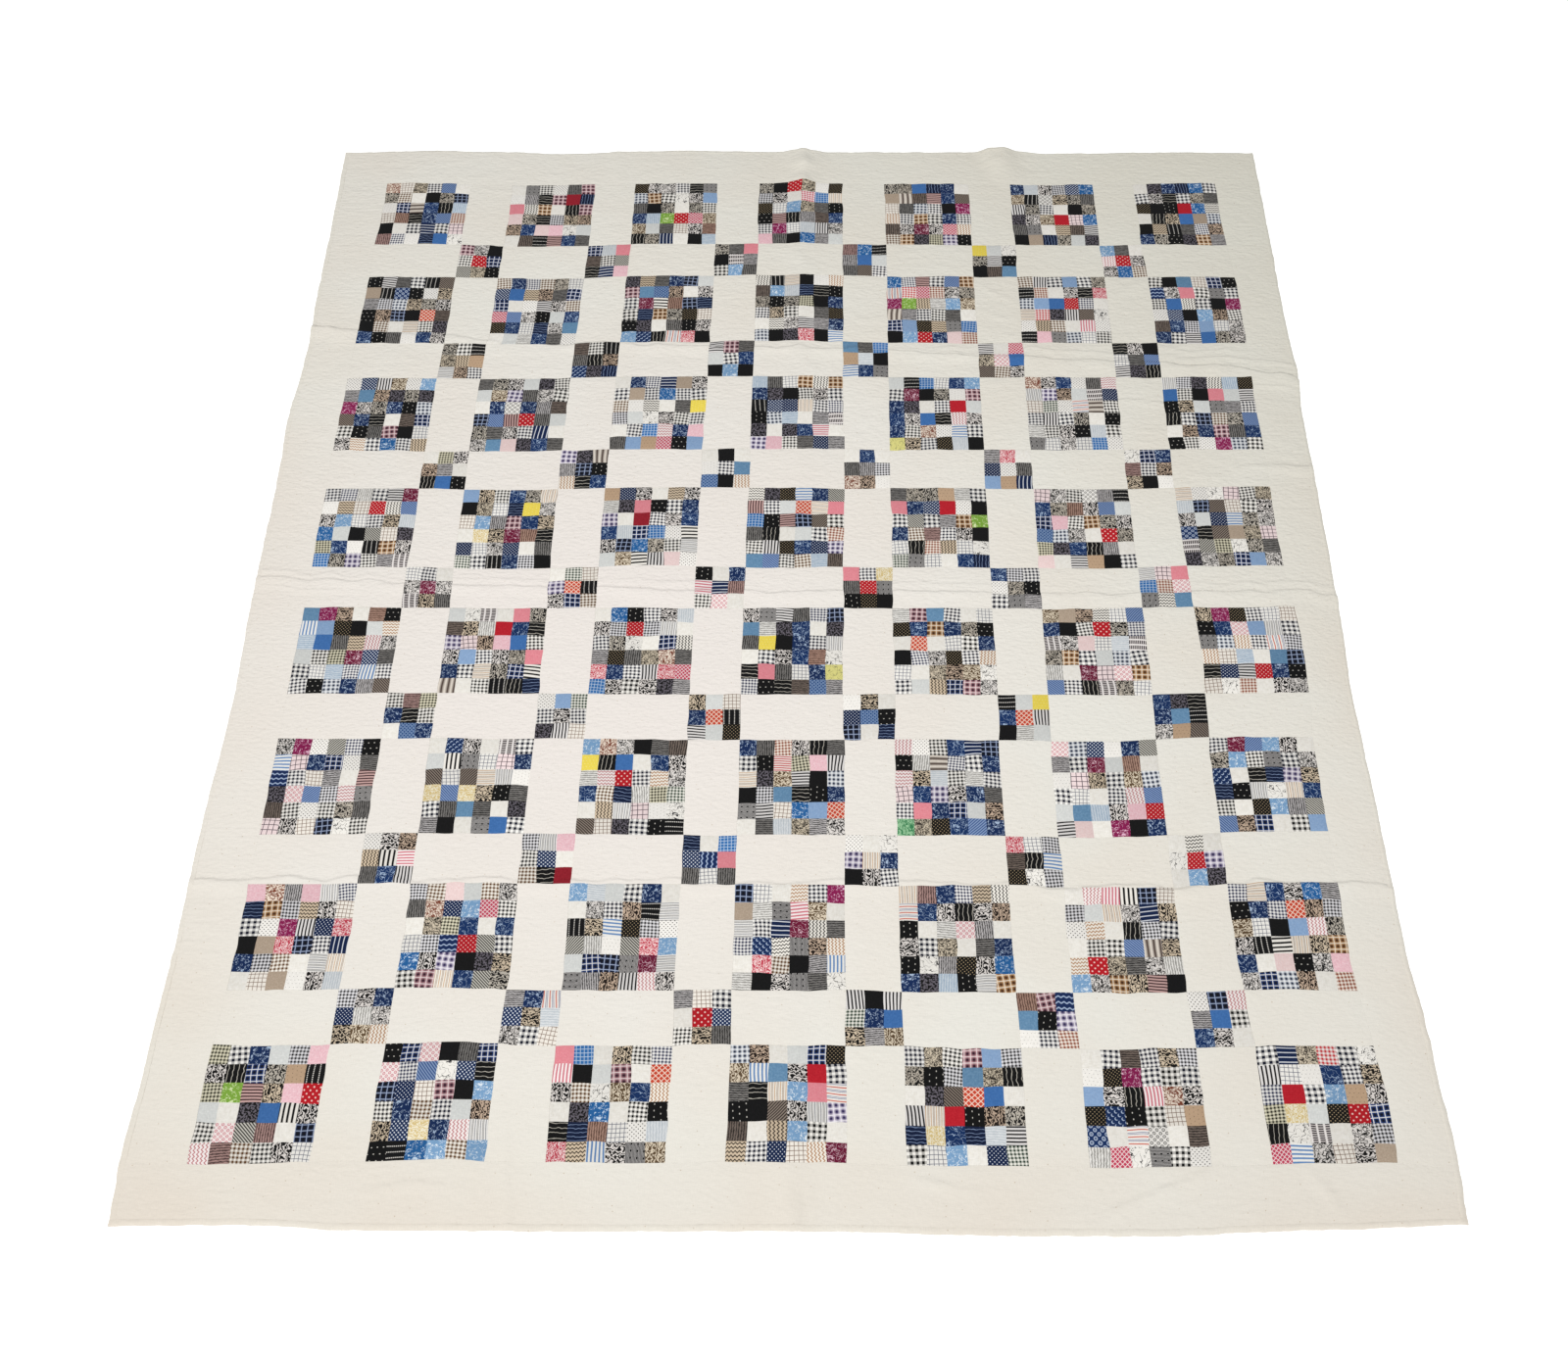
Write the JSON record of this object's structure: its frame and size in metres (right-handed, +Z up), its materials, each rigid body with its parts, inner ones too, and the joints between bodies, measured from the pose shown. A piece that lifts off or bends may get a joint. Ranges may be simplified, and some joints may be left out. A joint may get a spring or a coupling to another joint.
{
  "type": "patchwork quilt",
  "caption": "Pieced cotton quilt lying flat: square-patch blocks joined by plain sashing with small pieced cornerstones, a plain border and a narrow bound edge.",
  "frame": {"origin": "middle of the quilt's bounding box, on the surface that it lies on", "axes": "+Z up out of the quilt's face, +Y along its length towards the top end, +X across its width"},
  "size_m": [1.7096, 1.9262, 0.0193],
  "materials": {
    "patchwork": "printed cotton, matt",
    "muslin": "plain cotton, matt",
    "binding": "plain cotton, matt"
  },
  "bodies": {
    "root": {"block_row_1": "patchwork", "block_row_2": "patchwork", "block_row_3": "patchwork", "block_row_4": "patchwork", "block_row_5": "patchwork", "block_row_6": "patchwork", "block_row_7": "patchwork", "block_row_8": "patchwork", "sash_row_1": "muslin", "sash_row_2": "muslin", "sash_row_3": "muslin", "sash_row_4": "muslin", "sash_row_5": "muslin", "sash_row_6": "muslin", "sash_row_7": "muslin", "border_top": "muslin", "border_bottom": "muslin", "border_left": "muslin", "border_right": "muslin", "binding_top": "binding", "binding_bottom": "binding", "binding_left": "binding", "binding_right": "binding"}
  },
  "joints": []
}
